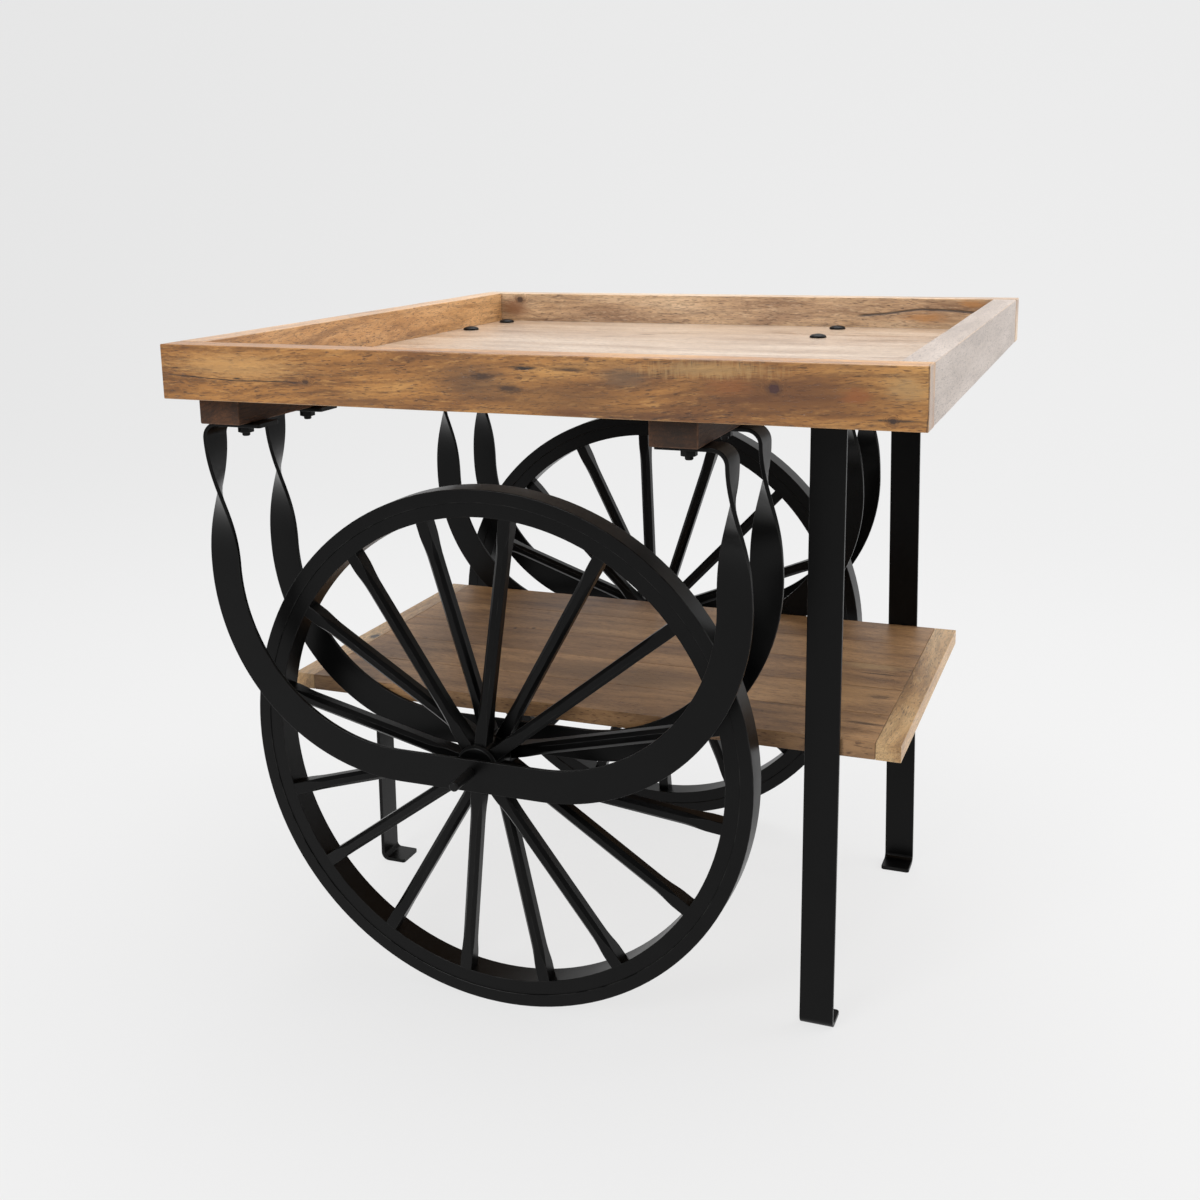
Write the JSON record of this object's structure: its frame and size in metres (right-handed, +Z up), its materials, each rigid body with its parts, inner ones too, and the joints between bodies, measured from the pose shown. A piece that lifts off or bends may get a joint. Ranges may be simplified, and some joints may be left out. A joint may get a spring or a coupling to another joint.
{
  "type": "bar cart",
  "caption": "Square wooden tray with raised rails on a black iron frame of twisted straps, spoked cart wheels and flat-bar legs, with a slatted wooden shelf below.",
  "frame": {"origin": "on the floor under the centre of the tray", "axes": "+X along the front rail towards the pair of legs, +Y from the front rail to the back rail, +Z up"},
  "size_m": [0.9115, 0.89, 0.86],
  "materials": {
    "rail_wood": "waxed honey-brown mango wood",
    "panel_wood": "waxed pale honey mango wood boards",
    "shelf_wood": "waxed grey-brown mango wood",
    "bearer_wood": "dark brown stained wood",
    "black_iron": "satin black over forged flat bar",
    "fastener_iron": "satin black"
  },
  "bodies": {
    "frame": {"axle_far": "fastener_iron", "axle_near": "fastener_iron", "axle_nut_far": "fastener_iron", "axle_nut_near": "fastener_iron", "bearer_left": "bearer_wood", "bearer_right": "bearer_wood", "bolt_left_far_inner": "fastener_iron", "bolt_left_far_outer": "fastener_iron", "bolt_left_near_inner": "fastener_iron", "bolt_left_near_outer": "fastener_iron", "bolt_right_far_inner": "fastener_iron", "bolt_right_far_outer": "fastener_iron", "bolt_right_near_inner": "fastener_iron", "bolt_right_near_outer": "fastener_iron", "leg_left": "black_iron", "leg_right_far": "black_iron", "leg_right_near": "black_iron", "nut_left_far_inner": "fastener_iron", "nut_left_far_outer": "fastener_iron", "nut_left_near_inner": "fastener_iron", "nut_left_near_outer": "fastener_iron", "nut_right_far_inner": "fastener_iron", "nut_right_far_outer": "fastener_iron", "nut_right_near_inner": "fastener_iron", "nut_right_near_outer": "fastener_iron", "shelf_board_1": "shelf_wood", "shelf_board_2": "shelf_wood", "shelf_board_3": "shelf_wood", "shelf_board_4": "shelf_wood", "shelf_board_5": "shelf_wood", "shelf_bracket_far": "black_iron", "shelf_bracket_near": "black_iron", "shelf_cleat_left": "shelf_wood", "shelf_cleat_right": "shelf_wood", "sleeve_far_inner": "fastener_iron", "sleeve_far_outer": "fastener_iron", "sleeve_near_inner": "fastener_iron", "sleeve_near_outer": "fastener_iron", "strap_far_inner": "black_iron", "strap_far_outer": "black_iron", "strap_near_inner": "black_iron", "strap_near_outer": "black_iron", "tray_back_rail": "rail_wood", "tray_board_1": "panel_wood", "tray_board_2": "panel_wood", "tray_board_3": "panel_wood", "tray_board_4": "panel_wood", "tray_board_5": "panel_wood", "tray_board_6": "panel_wood", "tray_front_rail": "rail_wood", "tray_left_rail": "rail_wood", "tray_right_rail": "rail_wood"},
    "wheel_near": {"wheel_near_hub_spokes": "black_iron", "wheel_near_felloe": "black_iron", "wheel_near_tyre": "black_iron"},
    "wheel_far": {"wheel_far_hub_spokes": "black_iron", "wheel_far_felloe": "black_iron", "wheel_far_tyre": "black_iron"}
  },
  "joints": [
    {"name": "wheel_near_spin", "type": "hinge", "parent": "frame", "child": "wheel_near", "pos_m": [-0.098, -0.303, 0.34], "axis": [0, 1, 0], "continuous": true},
    {"name": "wheel_far_spin", "type": "hinge", "parent": "frame", "child": "wheel_far", "pos_m": [-0.098, 0.303, 0.34], "axis": [0, 1, 0], "continuous": true}
  ]
}
